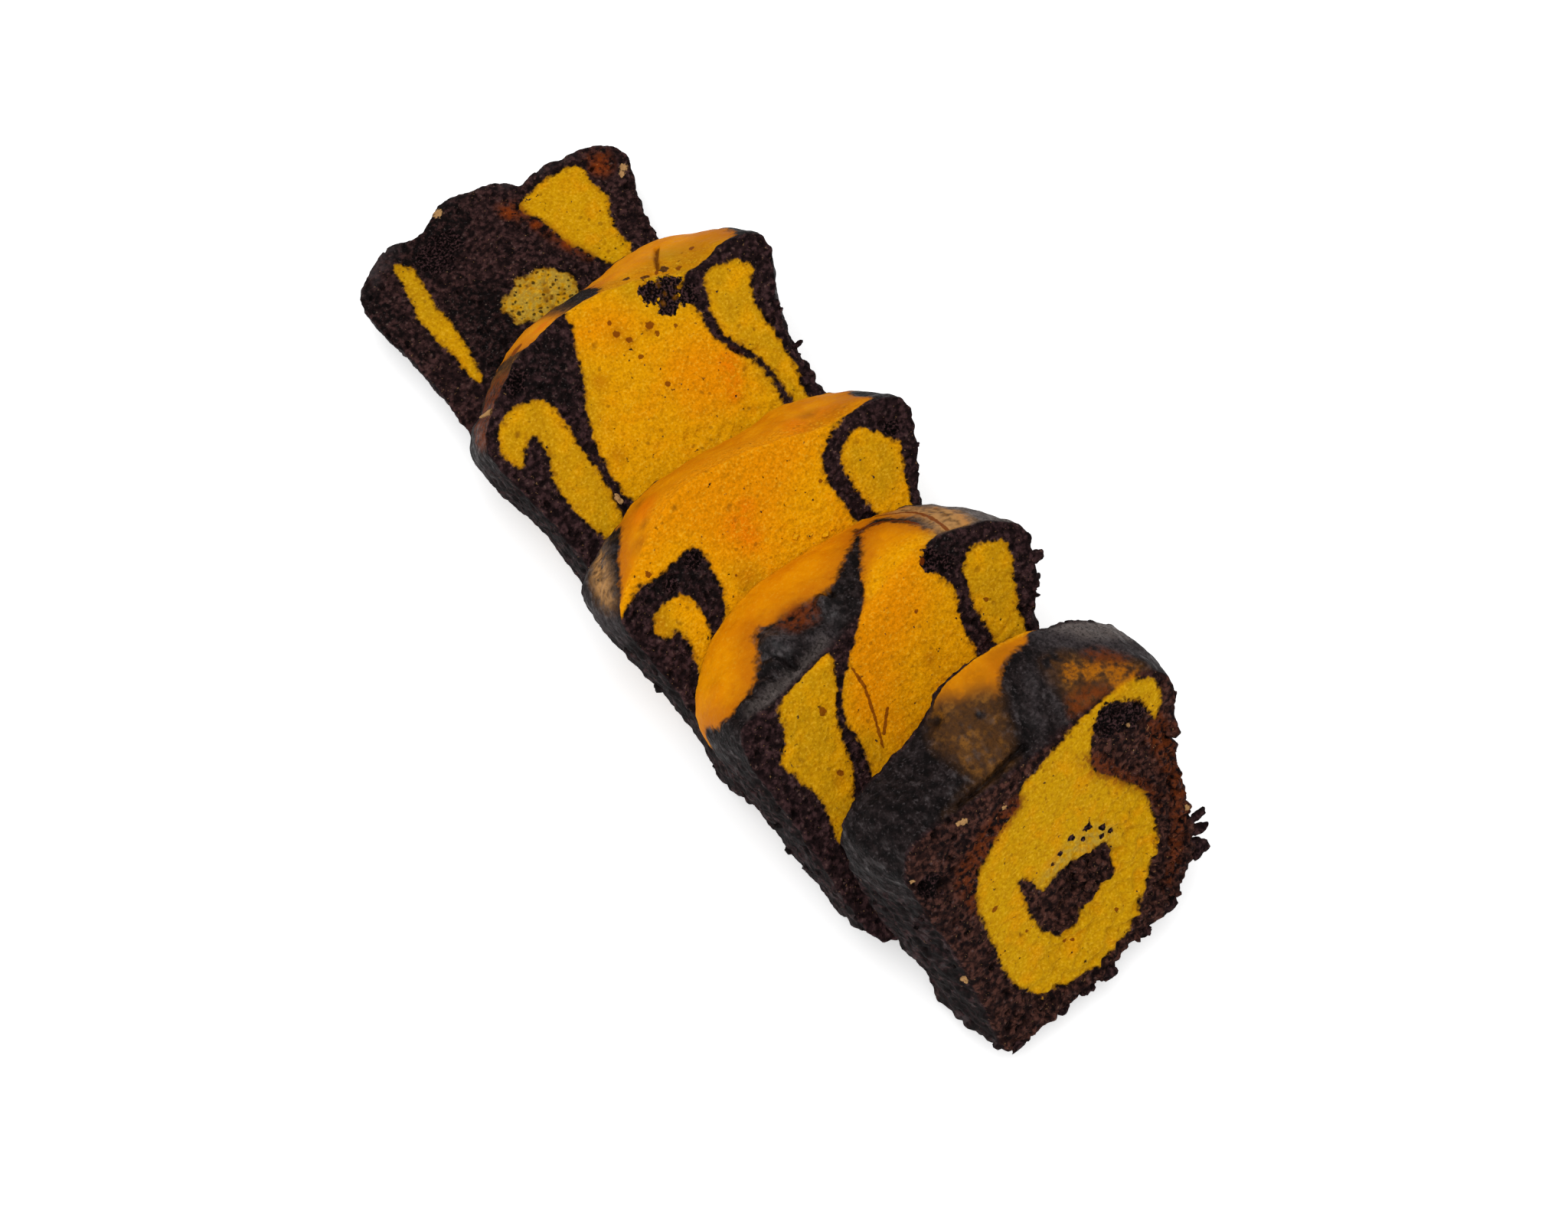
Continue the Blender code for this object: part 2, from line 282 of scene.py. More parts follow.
            # This loop is a painted shadow that slice_4 casts on the lower left of the cut.
            [(-25, 50), (-10, 46), (-12, 26), (-26, 20), (-26, 40)],
        ],
        specks=[(40.5, 59.5, 1.5), (38.8, 57.8, 1.0), (-12, 75.5, 1.8)],
        grey=[
            [(-50, 64), (-40, 71), (-26, 78), (-8, 82), (6, 80), (8, 76), (-8, 78), (-24, 73), (-38, 66),
             (-47, 60)],
            [(8, 77), (18, 74.5), (30, 73.5), (30, 71.5), (18, 72), (8, 73)],
        ],
    ),
}

# Baked crust of each slice: loops of (around, depth), and marks as (around, depth, radius)
CRUSTS = {
    "slice_1_front": dict(
        golden=[
            [(-8, 28), (-9, 20), (-4, 15.5), (1, 13), (5, 14.5), (9, 18.3), (13, 19.5), (17, 22), (16, 28)],
            [(27, 8), (31, 6), (35, 1), (33, -3), (30, 0), (28, 4)],
        ],
        tan=[
            [(-10, 25), (-13, 21), (-15, 15.5), (-15, 9), (-15, 4.5), (-13, 2), (-9, 2.5), (-3, 3), (0, 6),
             (1.5, 9.5), (4, 13), (3, 16), (-3, 19), (-6, 22)],
            [(17, 13), (22, 14), (28, 10), (34, 5), (37, -1), (25, -1), (19, 2)],
            [(-26, 1), (-12, 3), (-10, -3), (-27, -3)],
        ],
        # The first grey loop is a painted reflection on the dome.
        grey=[
            [(19, 28), (20, 17), (26, 13), (32, 9.5), (37, 5), (46, 4), (56, 14), (46, 28)],
            [(7, 4), (9, 9), (13, 14), (14, 13), (11, 8), (9, 4)],
            [(14, 2), (15, 8), (17, 12), (17.5, 11), (16, 7), (15, 2)],
        ],
        # Painted sheen on the far edge of the dome.
        pale=[[(24, 26), (30, 16), (42, 15), (40, 26)]],
        rust=[[(18, 5), (26, 4), (28, 0), (18, -1)], [(28, 13), (34, 8), (33, 6), (27, 10)]],
        grooves=[[(1.5, 3.2), (-8, 2.8), (-16, 2.5), (-23, 2.2)]],
        blushes=[(21, 9.5, 3.6), (26, 7.5, 4.4), (31, 4.5, 4.6), (34, 1, 3.6)],
        stains=[(-6, 22, 7.0), (2, 19, 5.0), (10, 21, 5.0)],
        holes=[(-10.5, 20.3, 2.2)],
    ),
    "slice_2": dict(
        golden=[
            [(-48, 29), (-45, 20), (-44, 12), (-40, 7.5), (-34, 8), (-30, 9.5), (-25, 12), (-22, 15.5),
             (-18, 13.5), (-13, 12.5), (-8, 11), (-1, 10.5), (4, 12.5), (9, 16), (12, 20), (13, 29)],
            [(14, 19), (11, 13), (6.5, 7), (2.5, 2), (0, -3), (27, -3), (26, 2), (24.5, 6), (21, 14),
             (18, 18)],
            [(14, 21.5), (19, 21.5), (23, 17), (27, 10), (27, -3), (31, -3), (33, 8), (31, 16), (28, 22),
             (22, 29), (14, 29)],
        ],
        tan=[[(22, 25), (25.5, 12), (25.5, -3), (32, -3), (33.5, 8), (32, 18), (28, 25)]],
        # These grey loops are painted highlights on the dark band.
        grey=[[(-23, 12), (-19, 12), (-18, 8), (-22, 7)], [(-17, 5), (-11, 5), (-10, 1), (-16, 0)]],
        pale=[
            [(21, 27), (24.5, 12), (24.5, -4), (46, -4), (45, 10), (40, 18), (31, 27)],
            # This pale loop is a painted sheen along the front arris.
            [(-38, 3), (-30, 3), (-22, 2.4), (-15, 2), (-15, -1), (-24, -1), (-38, 0)],
        ],
        rust=[[(-17, 13), (-13, 13.5), (-8, 12), (-8, 8.5), (-12, 7), (-17, 9)]],
        charred=[
            [(-28, 13), (-23, 16), (-18, 13), (-20, 8), (-27, 7)],
            [(-9, 12), (-4, 12.5), (-3, 6), (-9, 5)],
        ],
        lines=[[(13, 20.5), (17, 19.8), (21, 16), (24, 10)], [(19, 26), (25, 20), (27, 10), (28, 2)]],
        torn=[[(4, 4), (4, -3), (26, -3), (24, 4), (14, 7)]],
        bumps=[(-22, 10, 3.2), (-27, 6, 2.4), (-14, 4, 3.0), (-33, 5, 2.6), (-6, 8, 2.4), (-38, 4, 2.2)],
        holes=[(-25, 4.2, 1.6), (-3, 9.5, 1.4)],
    ),
    "slice_3": dict(
        golden=[
            [(-24, 29), (-29, 18), (-35, 10), (-44, 1.5), (-48, -3), (33, -3), (38, 1), (36, 12), (37, 29)],
        ],
        tan=[[(-33, 24), (-37, 14), (-42, 7), (-46, 2), (-48, 7), (-47, 13), (-42, 19), (-37, 24)]],
        pale=[[(-33, 24), (-37, 14), (-42, 7), (-45, 4), (-47, 8), (-45, 13), (-41, 18), (-37, 24)]],
        grey=[[(-46, 22), (-49, 10), (-47, 3), (-52, 3), (-58, 12), (-52, 22)]],
        blushes=[(-24, 12, 6.0), (22, 5, 5.0), (30, 6, 4.0)],
        torn=[[(-26, 5), (-26, -3), (34, -3), (32, 5), (0, 8)]],
        warm=[[(-44, 16), (-50, -8), (40, -8), (36, 16), (0, 22)]],
        stains=[(31, 4, 5.5), (26, 2, 4.0), (26, 9, 3.0), (-22, 18, 3.0), (-27, 6, 2.0), (-32, 3, 3.0)],
    ),
    "slice_4": dict(
        golden=[
            [(-24, 31), (-24, 14), (-21, -3), (-9, -3), (-7, 8), (-9, 20), (-10, 31)],
            [(1, 31), (4, 14), (4, 4), (0, -3), (34, -3), (38, 0), (38, 6), (36, 16), (34, 31)],
        ],
        tan=[[(-33, 31), (-32, -3), (-24, -3), (-27, 31)], [(-10, 31), (-9, -3), (-5, -3), (-5, 31)]],
        grey=[[(-44, 14), (-44, 6), (-38, 6), (-38, 14)]],
        stains=[(20, 4, 8.0), (30, 4, 8.0), (8, 4, 6.0)],
        torn=[[(4, 7), (4, -3), (36, -3), (33, 5), (20, 9)]],
        ragged=[(16, 1, 2.2), (22, 4, 1.4), (12, 5, 1.2)],
        blushes=[(-40, 1, 1.6), (-46, 5, 1.6), (-36, 8, 1.4), (-14, 6, 3.0)],
        rust=[[(-46, 12), (-46, -3), (-30, -3), (-31, 20)]],
        dots=[(-22, 9, 2.2), (26, 3, 1.0), (30, 8, 0.8)],
        lines=[[(23.5, 17), (22, 11), (21, 5), (19.5, 2)]],
        grooves=[[(23.5, 17), (22, 11), (21, 5)]],
        olive=[[(23, 13), (31, 8), (35, 0), (22, -1)]],
    ),
    "slice_5_rear": dict(
        golden=[[(-14, 5), (-11, 5), (-11, -1), (-14, -1)]],
        tan=[
            [(-26, 9), (-18, 9), (-17, -2), (-26, -2)],
            [(-16, 7), (-9, 7), (-8, -2), (-16, -2)],
            [(24, 8), (38, 8), (38, -2), (24, -2)],
        ],
        grey=[[(-70, 20), (-46, 20), (-46, 2), (-70, 2)], [(2, 20), (34, 20), (34, 2), (2, 2)]],
    ),
}

# Clumps of crumb that stand out: (across, depth, up) and the three half lengths
CLUMPS = {
    "slice_1_front": dict(
        dark=[
            ((39.2, 1.5, 24.5), (2.9, 1.6, 1.1)),
            ((38.6, 1.0, 20.8), (2.9, 1.3, 1.0)),
            ((36.5, 2.0, 14.0), (2.6, 2.2, 2.4)),
            ((22.5, 1.0, 5.0), (2.6, 2.0, 2.0)),
            ((14.0, 1.0, 2.2), (2.4, 2.0, 1.8)),
            ((1.0, 1.2, -0.6), (2.8, 2.2, 2.0)),
            ((-6.5, 1.0, -1.6), (2.4, 2.2, 1.8)),
            ((-30.0, 1.0, -2.4), (2.6, 2.2, 1.6)),
        ],
        pale=[
            ((-36.4, 1.6, 28.0), (0.9, 0.9, 0.9)),
            ((36.5, -0.2, 30.0), (0.6, 0.4, 0.5)),
        ],
    ),
    "slice_2": dict(
        dark=[
            ((47.5, 1.4, 64.0), (2.6, 2.0, 1.7)),
            ((43.0, 1.2, 57.6), (2.2, 2.0, 1.3)),
        ],
    ),
    "slice_3": dict(
        golden=[
            ((5.0, -0.2, 57.0), (1.0, 0.7, 0.8)),
            ((8.6, -0.2, 55.2), (0.8, 0.6, 0.6)),
            ((12.2, -0.2, 53.4), (1.2, 0.8, 0.8)),
            ((15.0, -0.1, 53.6), (0.7, 0.5, 0.6)),
        ],
    ),
    "slice_4": dict(
        dark=[
            ((41.5, 0.8, 55.5), (1.9, 1.8, 1.9)),
            ((41.0, 0.8, 44.5), (1.8, 1.0, 0.8)),
        ],
        pale=[
            ((-40.9, 3.0, 73.0), (2.0, 0.5, 0.6)),
            ((-24.6, -0.2, 35.5), (0.9, 0.8, 1.5)),
        ],
    ),
}

# The cut behind a slice is the one in front of the next slice
BEHIND = {
    "slice_1_front": "slice_2",
    "slice_2": "slice_3",
    "slice_3": "slice_4",
    "slice_4": "slice_5_rear",
    "slice_5_rear": "slice_5_rear",
}


def tone(red, green, blue):
    """Linear colour from the 0 to 255 values of a screen colour."""
    screen = (value / 255.0 for value in (red, green, blue))
    return tuple(v / 12.92 if v <= 0.04045 else ((v + 0.055) / 1.055) ** 2.4 for v in screen) + (1.0,)


# Places and distances

def smooth_loop(points, steps=6):
    """Closed Catmull-Rom curve through the points."""
    corners = np.array(points, dtype=float)
    before, after, beyond = (np.roll(corners, shift, axis=0) for shift in (1, -1, -2))
    rows = []
    for step in range(steps):
        k = step / steps
        rows.append(0.5 * (2 * corners + (after - before) * k
                           + (2 * before - 5 * corners + 4 * after - beyond) * k ** 2
                           + (3 * corners - before - 3 * after + beyond) * k ** 3))
    return np.stack(rows, axis=1).reshape(-1, 2)


def from_edge(spots, start, end):
    """Distance from each spot to one straight edge."""
    along = end - start
    part = np.clip((spots - start) @ along / max(along @ along, 1e-9), 0.0, 1.0)
    return np.linalg.norm(spots - start - part[:, None] * along, axis=1)


def within(spots, points):
    """Distance from each spot to the edge of a loop, positive inside it."""
    loop = smooth_loop(points)
    nearest = np.full(len(spots), np.inf)
    inside = np.zeros(len(spots), dtype=bool)
    for start, end in zip(loop, np.roll(loop, -1, axis=0)):
        nearest = np.minimum(nearest, from_edge(spots, start, end))
        if start[1] != end[1]:
            crossed = (start[1] > spots[:, 1]) != (end[1] > spots[:, 1])
            reach = start[0] + (end[0] - start[0]) * (spots[:, 1] - start[1]) / (end[1] - start[1])
            inside ^= crossed & (spots[:, 0] < reach)
    return np.where(inside, nearest, -nearest)


def within_any(spots, loops):
    """Highest of the distances to several loops, kept between -FAR and FAR."""
    if not loops:
        return np.full(len(spots), -FAR)
    return np.clip(np.max([within(spots, loop) for loop in loops], axis=0), -FAR, FAR)


def from_lines(spots, lines):
    """Distance from each spot to the nearest of several open lines."""
    nearest = np.full(len(spots), FAR)
    for line in lines:
        points = np.array(line, dtype=float)
        for start, end in zip(points, points[1:]):
            nearest = np.minimum(nearest, from_edge(spots, start, end))
    return nearest


def in_rounds(spots, rounds):
    """Strength between 0 and 1 of soft round marks, each given as (place, place, radius)."""
    strength = np.zeros(len(spots))
    for first, second, radius in rounds:
        away = np.linalg.norm(spots - (first, second), axis=1)
        strength = np.maximum(strength, np.clip(1.3 - away / radius, 0.0, 1.0))
    return strength


def soft(distance, width):
    """Smooth step from 0 to 1 while the distance goes from -width to width."""
    part = np.clip(0.5 + 0.5 * distance / width, 0.0, 1.0)
    return part * part * (3.0 - 2.0 * part)


def lumps(places, size, seed=0.0):
    """Smooth unevenness between about -1 and 1, with lumps of that size."""
    shift = Vector((3.1 * seed, 7.7 * seed, 1.3 * seed))
    return np.array([noise.noise(Vector(place) + shift) for place in places / size])


def cells(places, size):
    """Distance to the nearest cell's middle, in cells, and that cell's own number between 0 and 1."""
    near = np.empty(len(places))
    middles = np.empty((len(places), 3))
    for row, place in enumerate(places / size):
        distances, points = noise.voronoi(Vector(place))
        near[row] = distances[0]
        middles[row] = points[0]
    number = np.sin(middles @ np.array([12.9898, 78.233, 37.719])) * 43758.5453
    return near, number - np.floor(number)


# Meshes

def show(name, data):
    """A new object in the scene."""
    item = bpy.data.objects.new(name, data)
    bpy.context.scene.collection.objects.link(item)
    return item


def read_vectors(source, field):
    """A mesh's vectors as rows."""
    rows = np.empty(3 * len(source))
    source.foreach_get(field, rows)
    return rows.reshape(-1, 3)


def set_places(mesh, places):
    """Puts the mesh's points at these places, kept inside the model's box, and shades it smooth."""
    low, high = np.array(cad_box[0]) + BOX_MARGIN, np.array(cad_box[1]) - BOX_MARGIN
    mesh.vertices.foreach_set("co", np.clip(places, low, high).ravel())
    mesh.update()
    mesh.shade_smooth()


def write_attribute(mesh, name, values):
    """Keeps one number, or one vector, for each point of the mesh."""
    kind, field = ("FLOAT", "value") if values.ndim == 1 else ("FLOAT_VECTOR", "vector")
    mesh.attributes.new(name, kind, "POINT").data.foreach_set(field, values.astype(np.float32).ravel())


# Slices

def stand_matrix(stand):
    """From a slice's own place, with X across, Y back and Z up in metres, to the row."""
    where = Matrix.Translation(Vector(stand["corner"]) * MM)
    turn = Matrix.Rotation(math.radians(stand["turn"]), 4, "Z")
    lean = Matrix.Rotation(math.radians(-stand["lean"]), 4, "X")
    return where @ turn @ lean


def fine_copy(node):
    """A fine even mesh of a slice's solid."""
    form = bmesh.new()
    form.from_mesh(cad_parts[node].data)
    bmesh.ops.remove_doubles(form, verts=form.verts, dist=1e-6)
    mesh = bpy.data.meshes.new(node + "_form")
    form.to_mesh(mesh)
    form.free()
    mesh.materials.clear()
    item = show(node + "_form", mesh)
    even = item.modifiers.new("even", "REMESH")
    even.mode = "VOXEL"
    even.voxel_size = MESH_CELL * MM
    rounded = item.modifiers.new("rounded", "SMOOTH")
    rounded.factor = 0.5
    rounded.iterations = 8
    fine = bpy.data.meshes.new_from_object(item.evaluated_get(bpy.context.evaluated_depsgraph_get()))
    bpy.data.objects.remove(item)
    return fine


def paint(spots, plan):
    """Masks of one surface's marbling at its spots."""
    golden = within_any(spots, plan.get("golden"))
    golden = np.minimum(golden, -within_any(spots, plan.get("cocoa")))
    lines = np.clip(1.2 - from_lines(spots, plan.get("lines", [])) / LINE_WIDTH, 0.0, 1.0)
    grooves = np.clip(1.2 - from_lines(spots, plan.get("grooves", [])) / GROOVE_WIDTH, 0.0, 1.0)
    masks = {"gold": golden, "rich": np.full(len(spots), plan.get("rich", 1.0))}
    for tint, width in TINTS.items():
        masks[tint] = soft(within_any(spots, plan.get(tint)), width)
    for marks, mask in MARKS.items():
        masks[mask] = in_rounds(spots, plan.get(marks, []))
    masks["mark"] = np.maximum(in_rounds(spots, plan.get("dots", [])), lines)
    masks["hollow"] = np.maximum(in_rounds(spots, plan.get("holes", [])), grooves)
    return masks


def relief(own, masks, front, back, rugged, rim):
    """How far each point of a slice moves outward, in millimetres, and how deep it lies in a pore."""
    cuts = front + back
    skin = masks["crust"] - rugged
    gold = soft(masks["gold"], 0.8)
    dark = 1.0 - gold
    bent = own + 0.9 * np.stack([lumps(own, 1.9, seed=turn) for turn in (11.0, 12.0, 13.0)], axis=1)
    far, number = cells(bent, PORE_SPACING)
    open_share = 0.012 + 0.19 * dark + 0.5 * masks["porous"] + 0.7 * masks["ragged"]
    pore = np.clip(1.0 - (far / PORE_WIDTH) ** 2, 0.0, 1.0) * (number < open_share) * (1.0 - skin)
    knob = np.clip(0.5 - cells(bent, KNOB_SPACING)[0], -0.35, 0.5)
    grain = lumps(own, GRAIN_SIZE, seed=2.0)
    lump = lumps(own, LUMP_SIZE, seed=3.0)
    swell = lumps(own, SWELL_SIZE, seed=5.0)
    folds = lumps(own * (1.0, 0.4, 1.0), FOLD_SIZE, seed=8.0)
    lift = cuts * ((0.2 + 0.3 * dark) * swell + (0.2 + 0.3 * dark) * lump + (0.14 + 0.12 * dark) * grain)
    lift -= cuts * ((1.3 - 0.9 * gold) * pore + 0.5 * masks["ragged"])
    lift += skin * (0.35 * swell + (0.65 - 0.5 * gold) * folds + 0.16 * lump - 0.12)
    lift -= skin * np.clip(1.0 - own[:, 1] / 4.0, 0.0, 1.0) ** 2
    lift += rugged * (1.2 * knob + 0.7 * lump + 0.35 * grain - 0.9 * pore - 0.35)
    lift += rim * (2.2 * knob + 1.2 * lump)
    lift += 2.2 * masks["bump"] - 1.6 * masks["hollow"]
    return lift, pore


def pressed_flat(node, back, across, depth, up):
    """Where a slice rests on the next one or carries the one in front of it."""
    carries = soft(6.0 - up, 2.0) * soft(5.0 - depth, 2.0) * (node != "slice_1_front")
    rests = back * soft(PRESSED_HEIGHT - np.abs(up - STANDS[node]["rests_at"]), 3.0)
    return np.maximum(carries, rests) * soft(PRESSED_WIDTH - np.abs(across), 2.0)


def dress_slice(node):
    """The visible slice: a fine copy of its solid with pores, crags and its marbling masks."""
    stand = STANDS[node]
    mesh = fine_copy(node)
    world = read_vectors(mesh.vertices, "co")
    normals = read_vectors(mesh.vertex_normals, "vector")
    back_again = np.array(stand_matrix(stand).inverted())
    own = (world @ back_again[:3, :3].T + back_again[:3, 3]) / MM
    across, depth, up = own.T
    own_normal = normals @ back_again[:3, :3].T
    around = np.arctan2(across, up - CROWN_HEIGHT) * CROWN_RADIUS

    front = soft(CUT_REACH - depth, 1.0) * (own_normal[:, 1] < 0.3)
    back = soft(depth - stand["thickness"] + CUT_REACH, 1.0) * (own_normal[:, 1] > -0.3)
    crust = 1.0 - front - back
    on_cut = np.stack([across, up], axis=1)
    on_crust = np.stack([around, depth], axis=1)
    masks = {}
    surfaces = (
        (front, on_cut, MARBLING[node]),
        (back, on_cut, MARBLING[BEHIND[node]]),
        (crust, on_crust, CRUSTS[node]),
    )
    for share, spots, plan in surfaces:
        here = share > 0.0
        for name, values in paint(spots[here], plan).items():
            mask = masks.setdefault(name, np.zeros(len(own)))
            mask[here] += share[here] * values

    gold = soft(masks["gold"], 0.8)
    underside = soft(UNDERSIDE - around, 8.0)
    right_side = np.maximum(soft(around - RIGHT_EDGE, 7.0), underside)
    near_front = np.clip(1.0 - np.abs(depth - 0.5) / ARRIS_REACH, 0.0, 1.0)
    near_back = np.clip(1.0 - np.abs(depth - stand["thickness"] + 0.5) / ARRIS_REACH, 0.0, 1.0)
    rim = stand["crumbly"] * right_side * np.maximum(near_front, near_back)
    right_crumb = soft(around - RIGHT_EDGE - 8.0, 6.0)
    left_crumb = 0.85 * soft(LEFT_EDGE - 5.0 - around, 6.0)
    rugged = crust * np.maximum.reduce([right_crumb, left_crumb, underside])
    masks["crust"] = crust
    masks["side"] = crust * soft(LEFT_EDGE - around, 5.0) * soft(around - UNDERSIDE, 8.0)
    lift, pore = relief(own, masks, front, back, rugged, rim)
    pressed = pressed_flat(node, back, across, depth, up)
    lift -= pressed * np.clip(lift - PRESSED_LIFT, 0.0, None)
    set_places(mesh, world + normals * lift[:, None] * MM)

    masks["rugged"] = rugged
    masks["hollow"] = np.maximum(masks["hollow"], pore)
    masks["crumbling"] = (0.8 * rim * (1.0 - gold) + 0.05 * rugged) * (1.0 - pressed)
    masks["skin_place"] = own
    for name, values in masks.items():
        write_attribute(mesh, name, values)
    return show("dressed_" + node, mesh)


# Loose and clinging crumbs

def crumb_tree(finish):
    """Scatters small uneven crumbs over a surface, thickest where its crumbling mask is high."""
    tree = bpy.data.node_groups.new("clinging_crumbs", "GeometryNodeTree")
    panel = tree.interface
    panel.new_socket("Surface", in_out="INPUT", socket_type="NodeSocketGeometry")
    sizes = {"Crumbs per Square Metre": 80000.0, "Smallest": 0.0006, "Largest": 0.0022, "Unevenness": 0.0022}
    for name, value in sizes.items():
        panel.new_socket(name, in_out="INPUT", socket_type="NodeSocketFloat").default_value = value
    panel.new_socket("Seed", in_out="INPUT", socket_type="NodeSocketInt").default_value = 7
    panel.new_socket("Crumbs", in_out="OUTPUT", socket_type="NodeSocketGeometry")

    def add(kind, settings=None, sockets=None):
        """One node: its settings first, then the values and links of its sockets."""
        node = tree.nodes.new(kind)
        for name, value in (settings or {}).items():
            setattr(node, name, value)
        for name, value in (sockets or {}).items():
            if isinstance(value, bpy.types.NodeSocket):
                tree.links.new(value, node.inputs[name])
            else:
                node.inputs[name].default_value = value
        return node

    given = add("NodeGroupInput").outputs
    mask = add("GeometryNodeInputNamedAttribute", {"data_type": "FLOAT"}, {"Name": "crumbling"})
    density = add("ShaderNodeMath", {"operation": "MULTIPLY"},
                  {0: mask.outputs[0], 1: given["Crumbs per Square Metre"]})
    points = add("GeometryNodeDistributePointsOnFaces", {"distribute_method": "RANDOM"},
                 {"Mesh": given["Surface"], "Density": density.outputs[0], "Seed": given["Seed"]})
    lump = add("GeometryNodeMeshIcoSphere", sockets={"Radius": 1.0, "Subdivisions": 2})
    turn = add("FunctionNodeRandomValue", {"data_type": "FLOAT_VECTOR"},
               {0: (0.0, 0.0, 0.0), 1: (math.tau, math.tau, math.tau), "Seed": 3})
    chance = add("FunctionNodeRandomValue", {"data_type": "FLOAT"}, {2: 0.0, 3: 1.0, "Seed": 5})
    rare = add("ShaderNodeMath", {"operation": "POWER"}, {0: chance.outputs[1], 1: 4.0})
    size = add("ShaderNodeMapRange", sockets={
        "Value": rare.outputs[0], "To Min": given["Smallest"], "To Max": given["Largest"]})
    shape = add("FunctionNodeRandomValue", {"data_type": "FLOAT_VECTOR"},
                {0: (0.5, 0.5, 0.5), 1: (1.3, 1.3, 1.3), "Seed": 9})
    scale = add("ShaderNodeVectorMath", {"operation": "SCALE"},
                {0: shape.outputs[0], "Scale": size.outputs["Result"]})
    copies = add("GeometryNodeInstanceOnPoints", sockets={
        "Points": points.outputs["Points"], "Instance": lump.outputs["Mesh"],
        "Rotation": turn.outputs[0], "Scale": scale.outputs[0]})
    real = add("GeometryNodeRealizeInstances", sockets={"Geometry": copies.outputs["Instances"]})
    dents = add("ShaderNodeTexNoise", {"noise_dimensions": "3D"}, {"Scale": 800.0, "Detail": 2.0})
    centred = add("ShaderNodeVectorMath", {"operation": "SUBTRACT"},
                  {0: dents.outputs["Color"], 1: (0.5, 0.5, 0.5)})
    pushed = add("ShaderNodeVectorMath", {"operation": "SCALE"},
                 {0: centred.outputs[0], "Scale": given["Unevenness"]})
    moved = add("GeometryNodeSetPosition", sockets={"Geometry": real.outputs[0], "Offset": pushed.outputs[0]})
    finished = add("GeometryNodeSetMaterial", sockets={"Geometry": moved.outputs[0], "Material": finish})
    add("NodeGroupOutput", sockets={"Crumbs": finished.outputs[0]})
    return tree


def cling_crumbs(piece, tree, seed):
    """The crumbs that cling to one slice, as a plain mesh inside the model's box."""
    carrier = show("carrier", piece.data)
    scatter = carrier.modifiers.new("crumbs", "NODES")
    scatter.node_group = tree
    sockets = {item.name: item.identifier for item in tree.interface.items_tree if item.in_out == "INPUT"}
    scatter[sockets["Seed"]] = seed
    mesh = bpy.data.meshes.new_from_object(carrier.evaluated_get(bpy.context.evaluated_depsgraph_get()))
    carrier.modifiers.remove(scatter)
    bpy.data.objects.remove(carrier)
    set_places(mesh, read_vectors(mesh.vertices, "co"))
    return show("crumbs_on_" + piece.name.replace("dressed_", ""), mesh)


def knead_clumps(node):
    """The single clumps on one slice, as one mesh inside the model's box."""
    place = stand_matrix(STANDS[node])
    form = bmesh.new()
    gold = form.verts.layers.float.new("gold")
    rich = form.verts.layers.float.new("rich")
    speck = form.verts.layers.float.new("speck")
    for kind, gold_depth, paleness in (("dark", -FAR, 0.0), ("pale", -FAR, 1.0), ("golden", FAR, 0.0)):
        for middle, halves in CLUMPS[node].get(kind, []):
            for vert in bmesh.ops.create_icosphere(form, subdivisions=3, radius=1.0)["verts"]:
                spot = vert.co + Vector(middle)
                swell = 1.0 + 0.9 * noise.noise(spot * 0.7) + 0.35 * noise.noise(spot * 2.3)
                own = [start + half * part * swell for start, half, part in zip(middle, halves, vert.co)]
                vert.co = place @ (Vector(own) * MM)
                vert[gold] = gold_depth
                vert[rich] = 0.8
                vert[speck] = paleness
    mesh = bpy.data.meshes.new("clumps_on_" + node)
    form.to_mesh(mesh)
    form.free()
    set_places(mesh, read_vectors(mesh.vertices, "co"))
    return show("clumps_on_" + node, mesh)


# Finishes

class Value:
    """A number in a shader tree that takes part in sums."""

    def __init__(self, finish, socket):
        self.finish = finish
        self.socket = socket

    def sum(self, operation, *others):
        """The number taken together with others by one operation."""
        sockets = {0: self}
        sockets.update({place + 1: other for place, other in enumerate(others)})
        made = self.finish.add("ShaderNodeMath", {"operation": operation}, sockets)
        return Value(self.finish, made.outputs[0])

    def __add__(self, other):
        return self.sum("ADD", other)

    def __sub__(self, other):
        return self.sum("SUBTRACT", other)

    def __mul__(self, other):
        return self.sum("MULTIPLY", other)

    def __rsub__(self, other):
        return (self * -1.0) + other

    def __lt__(self, other):
        return self.sum("LESS_THAN", other)

    def step(self, low, high):
        """Smooth step from 0 at low to 1 at high."""
        sockets = {"Value": self, "From Min": low, "From Max": high}
        made = self.finish.add("ShaderNodeMapRange", {"interpolation_type": "SMOOTHSTEP"}, sockets)
        return Value(self.finish, made.outputs["Result"])

    __radd__ = __add__


